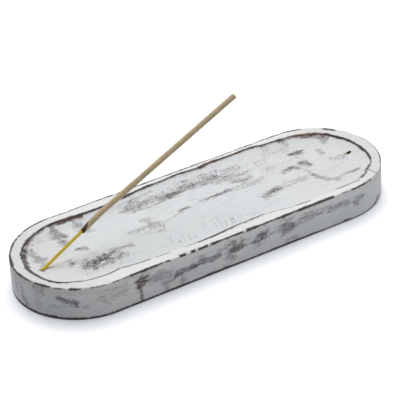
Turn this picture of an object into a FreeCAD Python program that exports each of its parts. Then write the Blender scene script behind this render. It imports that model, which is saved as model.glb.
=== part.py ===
import FreeCAD, Part
import math
import os
from enum import IntEnum

import Sketcher

# Stick incense burner: a long round-ended wooden tray with a shallow carved recess and a slanted hole
# drilled at each end of it, and one incense stick standing in the left hole.
# Millimetres, +Z up, X along the tray. The origin is the centre of the tray's underside.

SIZES = {
    # The wooden block and the recess carved into its top
    "tray_length": 300.0,
    "tray_width": 100.0,
    "tray_height": 26.0,
    "rim_width": 8.0,
    "recess_depth": 5.0,
    "wall_height": 1.4,
    "flank_run": 11.0,
    "inner_edge_radius": 0.5,
    "outer_edge_radius": 1.0,
    "base_edge_radius": 0.8,
    # The slanted holes: the mouths' centres are insets from the tray's left and right ends, at the floor's
    # height, and the depth runs along the drill
    "hole_diameter": 3.0,
    "hole_depth": 12.0,
    "hole_inset": 20.5,
    "spare_inset": 17.0,
    "hole_lean": 30.0,
    # The bamboo splint: its foot stands on the left hole's bottom, and it bends down slightly in the paste
    "core_diameter": 2.4,
    "core_length": 193.5,
    "bend_start": 64.0,
    "bend_radius": 100.0,
    "bend_angle": 4.4,
    "lip_gap": 0.15,
    # The incense paste rolled on the splint, with a slanting broken lower end and a rounded tip
    "bare_length": 48.5,
    "paste_diameter": 4.3,
    "tip_cover": 1.0,
    "tip_radius": 0.7,
    "break_rise": 7.5,
    "break_flat": 0.4,
    "break_turn": 172.0,
}

SKETCH_X_AXIS = -1
SKETCH_Y_AXIS = -2
TOUCH = 1e-4


class EdgePoint(IntEnum):
    """The points of a sketched line or arc that a constraint can hold."""

    FIRST = 1
    LAST = 2
    CENTRE = 3


doc = FreeCAD.newDocument("incense_burner")


def make_sheet():
    """Put every driving size in a named cell of the sheet that the pieces read."""
    sheet = doc.addObject("Spreadsheet::Sheet", "sizes")
    for row, (name, value) in enumerate(SIZES.items(), start=1):
        sheet.set(f"A{row}", name)
        sheet.set(f"B{row}", str(value))
        sheet.setAlias(f"B{row}", name)
    doc.recompute()
    return sheet


def origin_plane(body, role):
    """Find one of the body's own origin planes by its role."""
    return next(feature for feature in body.Origin.OriginFeatures if feature.Role == role)


def new_body(name):
    """Start a piece, whose label names its file."""
    body = doc.addObject("PartDesign::Body", name)
    body.Label = name
    return body


def new_sketch(body, name, role):
    """Start a sketch on one of the body's origin planes."""
    sketch = body.newObject("Sketcher::SketchObject", name)
    sketch.AttachmentSupport = [(origin_plane(body, role), "")]
    sketch.MapMode = "FlatFace"
    return sketch


def bind(sketch, name, constraint, size):
    """Add a dimension to a sketch and bind it to sizes in the sheet."""
    index = sketch.addConstraint(constraint)
    sketch.renameConstraint(index, name)
    sketch.setExpression(f"Constraints.{name}", size)


def round_ended_outline(sketch, half_straight, radius, straight_size, radius_size):
    """Draw two parallel sides joined by half circles, centred on the sketch's origin."""
    quarter = math.pi / 2
    up = FreeCAD.Vector(0, 0, 1)
    corner = FreeCAD.Vector(half_straight, radius, 0)
    centre = FreeCAD.Vector(half_straight, 0, 0)
    far_side = Part.LineSegment(corner, FreeCAD.Vector(-half_straight, radius, 0))
    left_end = Part.ArcOfCircle(Part.Circle(-centre, up, radius), quarter, 3 * quarter)
    near_side = Part.LineSegment(-corner, FreeCAD.Vector(half_straight, -radius, 0))
    right_end = Part.ArcOfCircle(Part.Circle(centre, up, radius), -quarter, quarter)
    ring = sketch.addGeometry([far_side, left_end, near_side, right_end], False)
    for this, following in zip(ring, ring[1:] + ring[:1]):
        sketch.addConstraint(Sketcher.Constraint("Tangent", this, EdgePoint.LAST, following, EdgePoint.FIRST))
    left, right = ring[1], ring[3]
    centres = (left, EdgePoint.CENTRE, right, EdgePoint.CENTRE)
    sketch.addConstraint(Sketcher.Constraint("PointOnObject", left, EdgePoint.CENTRE, SKETCH_X_AXIS))
    sketch.addConstraint(Sketcher.Constraint("Symmetric", *centres, SKETCH_Y_AXIS))
    bind(sketch, "straight", Sketcher.Constraint("DistanceX", *centres, 2 * half_straight), straight_size)
    bind(sketch, "end_radius", Sketcher.Constraint("Radius", right, radius), radius_size)


def straight_outline(sketch, corners):
    """Draw a closed outline of straight lines.

    Each corner is (x, x size, y, y size): where it starts out, and the sizes that place it, counted from
    the sketch's axes on the side where it starts out. A corner on an axis has no size there.
    """
    points = [FreeCAD.Vector(x, y, 0) for x, x_size, y, y_size in corners]
    lines = [Part.LineSegment(a, b) for a, b in zip(points, points[1:] + points[:1])]
    ring = sketch.addGeometry(lines, False)
    for this, following in zip(ring, ring[1:] + ring[:1]):
        joined = (this, EdgePoint.LAST, following, EdgePoint.FIRST)
        sketch.addConstraint(Sketcher.Constraint("Coincident", *joined))
    for line, (x, x_size, y, y_size) in zip(ring, corners):
        place_corner(sketch, line, "DistanceX", x, x_size, SKETCH_Y_AXIS)
        place_corner(sketch, line, "DistanceY", y, y_size, SKETCH_X_AXIS)


def place_corner(sketch, line, kind, value, size, axis):
    """Hold a line's start on an axis, or at a size from the sketch's origin."""
    if size is None:
        sketch.addConstraint(Sketcher.Constraint("PointOnObject", line, EdgePoint.FIRST, axis))
        return
    origin, corner = (SKETCH_X_AXIS, EdgePoint.FIRST), (line, EdgePoint.FIRST)
    first, second = (origin, corner) if value > 0 else (corner, origin)
    bind(sketch, f"{kind}_{line}", Sketcher.Constraint(kind, *first, *second, abs(value)), size)


def outline_edges(shape, height, radius):
    """Name the level edges of a round-ended outline with the given end radius at one height."""
    names = []
    for number, edge in enumerate(shape.Edges, start=1):
        box = edge.BoundBox
        level = abs(box.ZMin - height) < TOUCH and abs(box.ZMax - height) < TOUCH
        reach = max(abs(box.YMin), abs(box.YMax))
        if level and abs(reach - radius) < TOUCH:
            names.append(f"Edge{number}")
    return names


def add_round(body, base, name, size, edges):
    """Round the named edges of a feature by a size in the sheet."""
    feature = body.newObject("PartDesign::Fillet", name)
    feature.Base = (base, edges)
    feature.setExpression("Radius", f"sizes.{size}")
    doc.recompute()
    return feature


def check_cut(body, volume_before, name):
    """Stop if a cut took nothing away."""
    doc.recompute()
    if body.Shape.Volume > volume_before - TOUCH:
        raise RuntimeError(f"{name} cuts nothing")


def make_tray(sheet):
    """Carve the tray: the block, its recess with a low wall, its rounded edges and the two holes."""
    body = new_body("wooden_tray")
    outer_radius = sheet.tray_width / 2
    inner_radius = outer_radius - sheet.rim_width
    half_straight = (sheet.tray_length - sheet.tray_width) / 2
    straight_size = "sizes.tray_length - sizes.tray_width"

    block_outline = new_sketch(body, "block_outline", "XY_Plane")
    round_ended_outline(block_outline, half_straight, outer_radius, straight_size, "sizes.tray_width / 2")
    block = body.newObject("PartDesign::Pad", "block")
    block.Profile = block_outline
    block.setExpression("Length", "sizes.tray_height")
    doc.recompute()

    recess_outline = new_sketch(body, "recess_outline", "XY_Plane")
    recess_outline.setExpression("AttachmentOffset.Base.z", "sizes.tray_height")
    round_ended_outline(recess_outline, half_straight, inner_radius, straight_size,
                        "sizes.tray_width / 2 - sizes.rim_width")
    volume_before = body.Shape.Volume
    recess = body.newObject("PartDesign::Pocket", "recess")
    recess.Profile = recess_outline
    recess.setExpression("Length", "sizes.recess_depth")
    check_cut(body, volume_before, "recess")

    flank = slope_recess(body, recess, sheet)
    inner_edge = add_round(body, flank, "inner_edge", "inner_edge_radius",
                           outline_edges(flank.Shape, sheet.tray_height, inner_radius))
    outer_edge = add_round(body, inner_edge, "outer_edge", "outer_edge_radius",
                           outline_edges(inner_edge.Shape, sheet.tray_height, outer_radius))
    add_round(body, outer_edge, "base_edge", "base_edge_radius",
              outline_edges(outer_edge.Shape, 0.0, outer_radius))

    drill_hole(body, sheet, "left_hole", "sizes.hole_inset - sizes.tray_length / 2",
               sheet.hole_lean, "sizes.hole_lean")
    drill_hole(body, sheet, "right_hole", "sizes.tray_length / 2 - sizes.spare_inset",
               180.0 - sheet.hole_lean, "180 - sizes.hole_lean")
    return body


def slope_recess(body, recess, sheet):
    """Slope the recess's floor up to its low wall, all round."""
    inner_radius = sheet.tray_width / 2 - sheet.rim_width
    floor_height = sheet.tray_height - sheet.recess_depth
    flank = body.newObject("PartDesign::Chamfer", "flank")
    flank.Base = (recess, outline_edges(recess.Shape, floor_height, inner_radius))
    flank.ChamferType = "Two distances"
    flank.setExpression("Size", "sizes.recess_depth - sizes.wall_height")
    flank.setExpression("Size2", "sizes.flank_run")
    doc.recompute()
    if not outline_edges(flank.Shape, floor_height, inner_radius - sheet.flank_run):
        flank.FlipDirection = True
        doc.recompute()
    if not outline_edges(flank.Shape, floor_height, inner_radius - sheet.flank_run):
        raise RuntimeError("flank doesn't run out on the floor")
    return flank


def drill_hole(body, sheet, name, mouth_size, turn, turn_size):
    """Drill a hole along a line that leans up towards the middle; the turn is that of its way out."""
    outline = new_sketch(body, f"{name}_outline", "XZ_Plane")
    way_out = FreeCAD.Rotation(FreeCAD.Vector(0, 0, 1), turn)
    outline.AttachmentOffset = FreeCAD.Placement(FreeCAD.Vector(), way_out)
    outline.setExpression("AttachmentOffset.Base.x", mouth_size)
    outline.setExpression("AttachmentOffset.Base.y", "sizes.tray_height - sizes.recess_depth")
    outline.setExpression("AttachmentOffset.Rotation.Angle", turn_size)

    # The drill runs out of the slanting mouth by a diameter's worth, so that it clears its far lip
    radius = sheet.hole_diameter / 2
    bottom = -sheet.hole_depth
    run_out = sheet.hole_diameter / math.tan(math.radians(sheet.hole_lean))
    radius_size = "sizes.hole_diameter / 2"
    run_out_size = "sizes.hole_diameter / tan(sizes.hole_lean * 1deg)"
    straight_outline(outline, [
        (bottom, "sizes.hole_depth", 0.0, None),
        (run_out, run_out_size, 0.0, None),
        (run_out, run_out_size, radius, radius_size),
        (bottom, "sizes.hole_depth", radius, radius_size),
    ])
    volume_before = body.Shape.Volume
    hole = body.newObject("PartDesign::Groove", name)
    hole.Profile = outline
    hole.ReferenceAxis = (outline, ["H_Axis"])
    hole.Angle = 360.0
    check_cut(body, volume_before, name)


def stand_in_left_hole(body, sheet):
    """Stand a piece on the bottom of the left hole, along the drill's line and just off its lower wall.

    The piece was made with its foot at the origin, rising along Z and bent towards X.
    """
    tilt = FreeCAD.Rotation(FreeCAD.Vector(0, 1, 0), 90.0 - sheet.hole_lean)
    body.Placement = FreeCAD.Placement(FreeCAD.Vector(), tilt)
    lean = "sizes.hole_lean * 1deg"
    settled = "((sizes.hole_diameter - sizes.core_diameter) / 2 - sizes.lip_gap)"
    body.setExpression("Placement.Base.x", "sizes.hole_inset - sizes.tray_length / 2"
                       f" - sizes.hole_depth * cos({lean}) + {settled} * sin({lean})")
    body.setExpression("Placement.Base.z", "sizes.tray_height - sizes.recess_depth"
                       f" - sizes.hole_depth * sin({lean}) - {settled} * cos({lean})")
    body.setExpression("Placement.Rotation.Angle", "90 - sizes.hole_lean")
    doc.recompute()


def stick_section(body, name, sheet, size):
    """Draw the stick's round section at its foot."""
    section = new_sketch(body, name, "XY_Plane")
    radius = getattr(sheet, size) / 2
    circle = Part.Circle(FreeCAD.Vector(), FreeCAD.Vector(0, 0, 1), radius)
    index = section.addGeometry(circle, False)
    centred = (index, EdgePoint.CENTRE, SKETCH_X_AXIS, EdgePoint.FIRST)
    section.addConstraint(Sketcher.Constraint("Coincident", *centred))
    bind(section, "section_radius", Sketcher.Constraint("Radius", index, radius), f"sizes.{size} / 2")
    return section


def stick_path(body, name, sheet, length, length_size):
    """Draw the stick's middle line up to a length: straight from the foot, one slight bend, straight on."""
    path = new_sketch(body, name, "XZ_Plane")
    bend = math.radians(sheet.bend_angle)
    radius = sheet.bend_radius
    run_on = length - sheet.bend_start - radius * bend
    foot = FreeCAD.Vector()
    low = FreeCAD.Vector(0, sheet.bend_start, 0)
    high = low + FreeCAD.Vector(radius * (1 - math.cos(bend)), radius * math.sin(bend), 0)
    tip = high + FreeCAD.Vector(math.sin(bend), math.cos(bend), 0) * run_on
    circle = Part.Circle(low + FreeCAD.Vector(radius, 0, 0), FreeCAD.Vector(0, 0, 1), radius)
    turn = Part.ArcOfCircle(circle, math.pi - bend, math.pi)
    runs = [Part.LineSegment(foot, low), turn, Part.LineSegment(high, tip)]
    splint, knee, rest = path.addGeometry(runs, False)
    at_origin = (splint, EdgePoint.FIRST, SKETCH_X_AXIS, EdgePoint.FIRST)
    path.addConstraint(Sketcher.Constraint("Coincident", *at_origin))
    path.addConstraint(Sketcher.Constraint("Vertical", splint))
    path.addConstraint(Sketcher.Constraint("Tangent", splint, EdgePoint.LAST, knee, EdgePoint.LAST))
    path.addConstraint(Sketcher.Constraint("Tangent", knee, EdgePoint.FIRST, rest, EdgePoint.FIRST))
    bind(path, "straight", Sketcher.Constraint("Distance", splint, sheet.bend_start), "sizes.bend_start")
    bind(path, "knee_radius", Sketcher.Constraint("Radius", knee, radius), "sizes.bend_radius")
    bind(path, "rise", Sketcher.Constraint("Angle", rest, math.pi / 2 - bend), "90 - sizes.bend_angle")
    bind(path, "run_on", Sketcher.Constraint("Distance", rest, run_on),
         f"{length_size} - sizes.bend_start - sizes.bend_radius * sizes.bend_angle * pi / 180")
    return path


def sweep_stick(body, kind, name, section, path):
    """Carry a section along a path, to add or to take away."""
    feature = body.newObject(f"PartDesign::{kind}", name)
    feature.Profile = section
    feature.Spine = (path, ["Edge1", "Edge2", "Edge3"])
    doc.recompute()
    return feature


def make_core(sheet):
    """Make the bamboo splint."""
    body = new_body("bamboo_core")
    section = stick_section(body, "splint_section", sheet, "core_diameter")
    path = stick_path(body, "splint_path", sheet, sheet.core_length, "sizes.core_length")
    sweep_stick(body, "AdditivePipe", "splint", section, path)
    stand_in_left_hole(body, sheet)
    return body


def tip_edge(shape):
    """Name the round edge at the stick's tip, the highest one before the stick is tilted."""
    heights = [edge.BoundBox.ZMin for edge in shape.Edges]
    return f"Edge{heights.index(max(heights)) + 1}"


def make_paste(sheet):
    """Make the paste round the splint: a capped tube, then its rounded tip and its broken lower end."""
    body = new_body("incense_paste")
    roll_section = stick_section(body, "roll_section", sheet, "paste_diameter")
    roll_path = stick_path(body, "roll_path", sheet, sheet.core_length + sheet.tip_cover,
                           "sizes.core_length + sizes.tip_cover")
    sweep_stick(body, "AdditivePipe", "paste_roll", roll_section, roll_path)
    volume_before = body.Shape.Volume
    bore_section = stick_section(body, "bore_section", sheet, "core_diameter")
    bore_path = stick_path(body, "bore_path", sheet, sheet.core_length, "sizes.core_length")
    bore = sweep_stick(body, "SubtractivePipe", "splint_bore", bore_section, bore_path)
    check_cut(body, volume_before, "splint_bore")
    add_round(body, bore, "tip_round", "tip_radius", [tip_edge(bore.Shape)])
    break_lower_end(body, sheet)
    stand_in_left_hole(body, sheet)
    return body


def break_lower_end(body, sheet):
    """Cut the paste off above the bare splint, slanting from a small flat and turned about the stick."""
    outline = new_sketch(body, "break_outline", "XZ_Plane")
    turn = FreeCAD.Rotation(FreeCAD.Vector(0, 1, 0), sheet.break_turn)
    outline.AttachmentOffset = FreeCAD.Placement(FreeCAD.Vector(), turn)
    outline.setExpression("AttachmentOffset.Rotation.Angle", "sizes.break_turn")

    # The cut reaches a diameter past the paste all round, and past the foot
    outside = 2 * sheet.paste_diameter
    flat_edge = sheet.break_flat - sheet.paste_diameter / 2
    steepness = sheet.break_rise / (sheet.paste_diameter - sheet.break_flat)
    top = sheet.bare_length + steepness * (outside - flat_edge)
    outside_size = "2 * sizes.paste_diameter"
    flat_edge_size = "sizes.paste_diameter / 2 - sizes.break_flat"
    top_size = ("sizes.bare_length + sizes.break_rise * (2.5 * sizes.paste_diameter - sizes.break_flat)"
                " / (sizes.paste_diameter - sizes.break_flat)")
    straight_outline(outline, [
        (-outside, outside_size, -sheet.paste_diameter, "sizes.paste_diameter"),
        (outside, outside_size, -sheet.paste_diameter, "sizes.paste_diameter"),
        (outside, outside_size, top, top_size),
        (flat_edge, flat_edge_size, sheet.bare_length, "sizes.bare_length"),
        (-outside, outside_size, sheet.bare_length, "sizes.bare_length"),
    ])
    volume_before = body.Shape.Volume
    broken_end = body.newObject("PartDesign::Pocket", "broken_end")
    broken_end.Profile = outline
    broken_end.SideType = "Symmetric"
    broken_end.setExpression("Length", "4 * sizes.paste_diameter")
    check_cut(body, volume_before, "broken_end")


def write_pieces(pieces):
    """Check the whole document, then write one file for each piece."""
    doc.recompute()
    for item in doc.Objects:
        if "Invalid" in item.State or "Error" in item.State:
            raise RuntimeError(f"{item.Label} failed: {item.State}")
    for piece in pieces:
        if piece.Shape.isNull() or not piece.Shape.isValid() or len(piece.Shape.Solids) != 1:
            raise RuntimeError(f"{piece.Label} is not one sound solid")
    os.makedirs("parts", exist_ok=True)
    for piece in pieces:
        piece.Shape.exportStep(f"parts/{piece.Label}.step")
        box = piece.Shape.optimalBoundingBox()
        extent = f"{box.XLength:.2f} x {box.YLength:.2f} x {box.ZLength:.2f} mm"
        print(f"{piece.Label}: {piece.Shape.Volume:.1f} mm3, {extent}")


sizes_sheet = make_sheet()
write_pieces([make_tray(sizes_sheet), make_core(sizes_sheet), make_paste(sizes_sheet)])
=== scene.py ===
"""Stick incense burner: a whitewashed wooden tray, worn back to dark wood, with a stick in its left hole."""
import logging
import math
import random
from dataclasses import dataclass, field
from enum import Enum
from typing import Callable, Iterable, Sequence

import bmesh
import bpy
import numpy as np
from bpy.types import ID, Material, Mesh, Node, NodeSocket, NodeTree, Object
from mathutils import Matrix, Vector, noise


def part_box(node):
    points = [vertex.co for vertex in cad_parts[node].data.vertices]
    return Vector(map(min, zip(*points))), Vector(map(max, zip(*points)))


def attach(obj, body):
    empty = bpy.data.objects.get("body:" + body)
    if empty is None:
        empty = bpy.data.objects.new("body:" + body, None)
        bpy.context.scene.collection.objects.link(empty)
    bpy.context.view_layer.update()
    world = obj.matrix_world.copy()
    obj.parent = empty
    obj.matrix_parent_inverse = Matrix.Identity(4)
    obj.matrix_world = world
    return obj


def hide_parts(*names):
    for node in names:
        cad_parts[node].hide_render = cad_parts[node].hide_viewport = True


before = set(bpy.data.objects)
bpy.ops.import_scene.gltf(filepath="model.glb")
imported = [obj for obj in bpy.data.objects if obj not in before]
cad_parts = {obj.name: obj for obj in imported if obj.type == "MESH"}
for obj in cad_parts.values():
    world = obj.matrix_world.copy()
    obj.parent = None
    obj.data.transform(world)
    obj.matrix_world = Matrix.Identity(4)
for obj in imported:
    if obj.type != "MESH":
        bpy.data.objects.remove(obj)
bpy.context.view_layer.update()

LOG = logging.getLogger("incense_burner")
MM = 0.001
PHOTO_PIXELS = 400
WHITE = (1.0, 1.0, 1.0, 1.0)
RAY_STEPS = 500

Pixel = tuple[float, float]
Triple = tuple[float, float, float]


def linear(red: int, green: int, blue: int) -> tuple[float, float, float, float]:
    """Turn a colour as seen on a screen, 0 to 255, into the linear colour that a shader takes."""
    shares = (channel / 255 for channel in (red, green, blue))
    return (*(s / 12.92 if s <= 0.04045 else ((s + 0.055) / 1.055) ** 2.4 for s in shares), 1.0)


def ease(values: np.ndarray) -> np.ndarray:
    """Clamp values to 0..1 and smooth both ends."""
    share = np.clip(values, 0.0, 1.0)
    return share * share * (3.0 - 2.0 * share)


def noise_at(points: np.ndarray, per_mm: float, seed: float) -> np.ndarray:
    """Sample smooth noise at points.

    Args:
        points: Places in millimetres, one row each.
        per_mm: How many features lie in a millimetre.
        seed: Shifts the noise, so that two uses differ.

    Returns:
        One value for each point, about -1 to 1.
    """
    shift = Vector((seed * 17.3, seed * -9.1, seed * 5.7))
    return np.array([noise.noise(Vector(p) * per_mm + shift) for p in points])


@dataclass(frozen=True)
class Ripple:
    """One layer of unevenness: its depth, its features for each millimetre and its seed."""

    depth: float
    per_mm: float
    seed: float

    def at(self, points: np.ndarray) -> np.ndarray:
        """Give the layer's height at points, both up and down."""
        return self.depth * noise_at(points, self.per_mm, self.seed)

    def bites(self, points: np.ndarray, least: float) -> np.ndarray:
        """Give the layer's height at points only where its noise rises above a least value."""
        return np.maximum(noise_at(points, self.per_mm, self.seed) - least, 0.0) * self.depth


def between(first: Pixel, last: Pixel, gap: float) -> list[Pixel]:
    """Space points evenly from one point, which is left out, to another."""
    count = max(1, round(math.dist(first, last) / gap))
    return [(first[0] + (last[0] - first[0]) * i / count, first[1] + (last[1] - first[1]) * i / count)
            for i in range(1, count + 1)]


def evenly(path: Sequence[Pixel], gap: float = 2.5) -> list[Pixel]:
    """Space pixels evenly along a path, with its own pixels among them."""
    spaced = [path[0]]
    for first, last in zip(path, path[1:]):
        spaced += between(first, last, gap)
    return spaced


def add_object(name: str, data: ID) -> Object:
    """Put a mesh, a curve, a light or a camera in the scene as an object at the origin."""
    thing = bpy.data.objects.new(name, data)
    bpy.context.scene.collection.objects.link(thing)
    return thing


class Surface(Enum):
    """Where on the tray a mark that is placed by a pixel of the photograph lies."""

    FLOOR = "the recess's floor"
    RIM = "the rim's top"
    SIDE = "the outer wall"
    INNER_EDGE = "the arris between the rim and the recess"
    OUTER_EDGE = "the arris between the rim and the outer wall"
    BASE_EDGE = "the arris between the outer wall and the base"


@dataclass(frozen=True)
class PhotoView:
    """The photograph's camera, in millimetres and degrees in the tray's own frame."""

    azimuth: float = -30.91
    elevation: float = 31.62
    roll: float = -3.19
    distance: float = 1457.6
    target: Triple = (13.2, 22.43, 12.79)
    focal_pixels: float = 1983.0
    sensor_mm: float = 36.0
    clip_m: tuple[float, float] = (0.05, 50.0)

    def axes(self) -> tuple[np.ndarray, np.ndarray, np.ndarray]:
        """Give the camera's right, up and backward directions."""
        a, e, r = (math.radians(x) for x in (self.azimuth, self.elevation, self.roll))
        back = np.array([math.sin(a) * math.cos(e), -math.cos(a) * math.cos(e), math.sin(e)])
        level = np.array([math.cos(a), math.sin(a), 0.0])
        above = np.cross(back, level)
        right = math.cos(r) * level + math.sin(r) * above
        up = math.cos(r) * above - math.sin(r) * level
        return right, up, back

    def place(self) -> np.ndarray:
        """Give the camera's place."""
        return np.array(self.target) + self.axes()[2] * self.distance

    def ray(self, pixel: Pixel) -> np.ndarray:
        """Give the direction in which a pixel of the photograph looks."""
        right, up, back = self.axes()
        across = (pixel[0] - PHOTO_PIXELS / 2) / self.focal_pixels
        down = (pixel[1] - PHOTO_PIXELS / 2) / self.focal_pixels
        return right * across - up * down - back

    def on_level(self, pixel: Pixel, height: float) -> np.ndarray:
        """Find where a pixel meets a level plane."""
        start, way = self.place(), self.ray(pixel)
        return start + way * (height - start[2]) / way[2]

    def make_camera(self) -> Object:
        """Add the camera and make it the scene's own."""
        data = bpy.data.cameras.new("photo_camera")
        data.sensor_width = self.sensor_mm
        data.lens = self.focal_pixels / PHOTO_PIXELS * self.sensor_mm
        data.clip_start, data.clip_end = self.clip_m
        camera = add_object("photo_camera", data)
        right, up, back = self.axes()
        turn = Matrix((right, up, back)).transposed().to_4x4()
        camera.matrix_world = Matrix.Translation(Vector(self.place() * MM)) @ turn
        bpy.context.scene.camera = camera
        return camera


class NodeSheet:
    """A short way to add nodes to a tree and join them."""

    def __init__(self, tree: NodeTree) -> None:
        """Take the tree that the nodes go into."""
        self.tree = tree

    def add(self, kind: str, settings: dict | None = None, **inputs: object) -> Node:
        """Add a node.

        Args:
            kind: The node's type name.
            settings: Properties of the node itself.
            inputs: Values or sockets for its inputs, by name with spaces as underscores.

        Returns:
            The node.
        """
        node = self.tree.nodes.new(kind)
        for name, value in (settings or {}).items():
            setattr(node, name, value)
        for name, value in inputs.items():
            self.feed(self.socket(node.inputs, name), value)
        return node

    @staticmethod
    def socket(sockets: Iterable, name: str) -> NodeSocket:
        """Find the shown socket of a name written with underscores, or by its number as in i0."""
        shown = list(sockets)
        if name[0] == "i" and name[1:].isdigit():
            return shown[int(name[1:])]
        return next(s for s in shown if s.name == name.replace("_", " ") and s.enabled)

    def feed(self, socket: NodeSocket, value: object) -> None:
        """Join a socket to an input, or set the input's value."""
        if isinstance(value, NodeSocket):
            self.tree.links.new(value, socket)
        else:
            socket.default_value = value

    def math(self, operation: str, *values: object) -> NodeSocket:
        """Add a math node and give its result."""
        node = self.tree.nodes.new("ShaderNodeMath")
        node.operation = operation
        for socket, value in zip(node.inputs, values):
            self.feed(socket, value)
        return node.outputs[0]

    def mix(self, share: object, first: object, second: object) -> NodeSocket:
        """Mix two colours and give the result."""
        node = self.tree.nodes.new("ShaderNodeMix")
        node.data_type = "RGBA"
        colours = [s for s in node.inputs if s.type == "RGBA"]
        self.feed(node.inputs[0], share)
        self.feed(colours[0], first)
        self.feed(colours[1], second)
        return next(s for s in node.outputs if s.type == "RGBA")

    def step(self, value: object, low: float, high: float) -> NodeSocket:
        """Rise smoothly from 0 to 1 as a value goes from low to high."""
        settings = {"interpolation_type": "SMOOTHSTEP"}
        node = self.add("ShaderNodeMapRange", settings, Value=value, From_Min=low, From_Max=high)
        return node.outputs[0]


def shader_group(name: str, inputs: dict[str, float], build: Callable) -> NodeTree:
    """Make a shader node group whose one output is a value that changes over the surface.

    Args:
        name: The group's name.
        inputs: Its inputs and their usual values.
        build: Adds the nodes; takes the sheet and the inputs by name, and gives the output's socket.

    Returns:
        The group, made once.
    """
    if name in bpy.data.node_groups:
        return bpy.data.node_groups[name]
    tree = bpy.data.node_groups.new(name, "ShaderNodeTree")
    for label, value in inputs.items():
        socket = tree.interface.new_socket(label, in_out="INPUT", socket_type="NodeSocketFloat")
        socket.default_value = value
    tree.interface.new_socket("Value", in_out="OUTPUT", socket_type="NodeSocketFloat")
    sheet = NodeSheet(tree)
    entry = tree.nodes.new("NodeGroupInput")
    result = build(sheet, {label: entry.outputs[label] for label in inputs})
    tree.links.new(result, tree.nodes.new("NodeGroupOutput").inputs["Value"])
    return tree


def streak_group() -> NodeTree:
    """Make the group for streaks that are drawn out along a line, such as grain or dry brush marks."""
    def build(sheet: NodeSheet, given: dict) -> NodeSocket:
        """Stretch noise along a line that is turned about Z."""
        place = sheet.add("ShaderNodeTexCoord").outputs["Object"]
        turned = sheet.add("ShaderNodeVectorRotate", {"rotation_type": "Z_AXIS"}, Vector=place,
                           Angle=given["Turn"]).outputs[0]
        scale = sheet.add("ShaderNodeCombineXYZ", X=given["Along"], Y=given["Across"], Z=given["Across"])
        stretched = sheet.add("ShaderNodeVectorMath", {"operation": "MULTIPLY"}, i0=turned,
                              i1=scale.outputs[0]).outputs[0]
        field_noise = sheet.add("ShaderNodeTexNoise", Vector=stretched, Scale=1.0,
                                Detail=given["Broken"], Roughness=0.6)
        return field_noise.outputs["Fac"]

    usual = {"Along": 150.0, "Across": 1400.0, "Turn": 0.0, "Broken": 3.0}
    return shader_group("drawn_out_streaks", usual, build)


def mottle_group() -> NodeTree:
    """Make the group for cloudy patches at two sizes."""
    def build(sheet: NodeSheet, given: dict) -> NodeSocket:
        """Add a coarse and a fine cloud."""
        place = sheet.add("ShaderNodeTexCoord").outputs["Object"]
        coarse = sheet.add("ShaderNodeTexNoise", Vector=place, Scale=given["Coarse"], Detail=2.0)
        fine = sheet.add("ShaderNodeTexNoise", Vector=place, Scale=given["Fine"], Detail=4.0)
        both = sheet.math("ADD", coarse.outputs["Fac"], fine.outputs["Fac"])
        return sheet.step(both, 0.7, 1.3)

    return shader_group("cloudy_patches", {"Coarse": 40.0, "Fine": 400.0}, build)


def group_value(sheet: NodeSheet, tree: NodeTree, **inputs: float) -> NodeSocket:
    """Place a group in a material with its own values and give its output."""
    node = sheet.tree.nodes.new("ShaderNodeGroup")
    node.node_tree = tree
    for name, value in inputs.items():
        node.inputs[name].default_value = value
    return node.outputs["Value"]


def new_material(name: str) -> tuple[Material, NodeSheet, Node]:
    """Make a material and give it with its sheet of nodes and its Principled shader."""
    material = bpy.data.materials.new(name)
    material.use_nodes = True
    sheet = NodeSheet(material.node_tree)
    shader = material.node_tree.nodes["Principled BSDF"]
    return material, sheet, shader


def wire_surface(sheet: NodeSheet, shader: Node, colour: NodeSocket, rough: NodeSocket, height: NodeSocket,
                 strength: float, depth: float) -> None:
    """Join a finish to its shader.

    Args:
        sheet: The material's sheet of nodes.
        shader: Its Principled shader.
        colour: The surface's colour.
        rough: The surface's roughness.
        height: The relief that bumps the surface.
        strength: How strongly it does so.
        depth: The relief's depth, in millimetres.
    """
    sheet.feed(shader.inputs["Base Color"], colour)
    sheet.feed(shader.inputs["Roughness"], rough)
    bump = sheet.add("ShaderNodeBump", Strength=strength, Distance=depth * MM, Height=height)
    sheet.feed(shader.inputs["Normal"], bump.outputs[0])


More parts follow.
